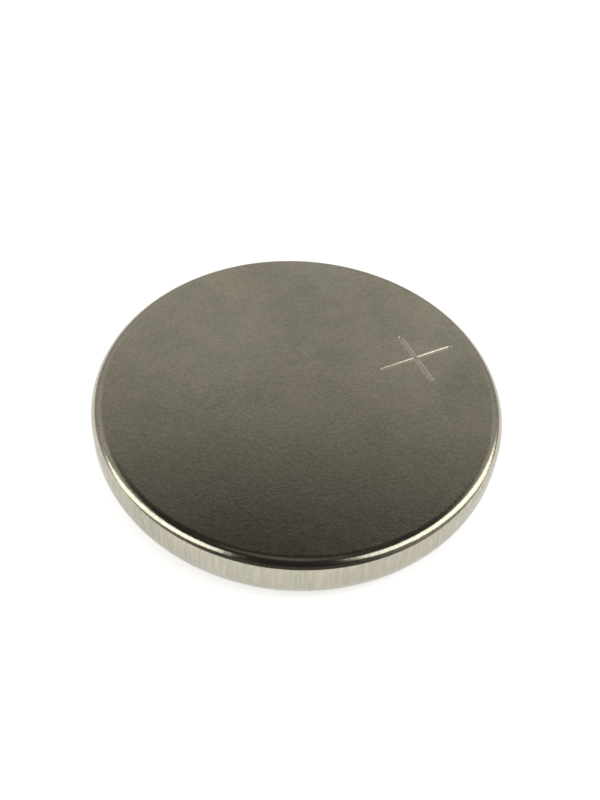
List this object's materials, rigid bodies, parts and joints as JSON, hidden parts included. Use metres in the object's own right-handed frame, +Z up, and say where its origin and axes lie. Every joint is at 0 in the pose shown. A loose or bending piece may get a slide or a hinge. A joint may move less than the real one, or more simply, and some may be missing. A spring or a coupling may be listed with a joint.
{
  "type": "lithium coin cell",
  "caption": "Flat round lithium cell with a plain positive can rolled over a moulded gasket and a stepped negative cap.",
  "frame": {"origin": "centre of the negative cap's flat face, on the surface that the cell rests on", "axes": "+Z up the cell's axis, from the negative face to the positive face; X and Y are any two directions across it"},
  "size_m": [0.02, 0.02, 0.0032],
  "materials": {
    "can_steel": "nickel-plated sheet steel with a fine satin grain",
    "gasket_plastic": "natural moulded polypropylene",
    "cap_steel": "nickel-plated sheet steel with a fine satin grain",
    "lithium_foil": "soft rolled foil, dull",
    "separator_fleece": "non-woven polypropylene fleece",
    "pressed_cathode": "pressed powder, matt",
    "grid_steel": "stamped stainless steel, plain"
  },
  "bodies": {
    "root": {"positive_can": "can_steel", "gasket": "gasket_plastic", "negative_cap": "cap_steel", "lithium_anode": "lithium_foil", "separator": "separator_fleece", "cathode_pellet": "pressed_cathode", "current_collector": "grid_steel"}
  },
  "joints": []
}
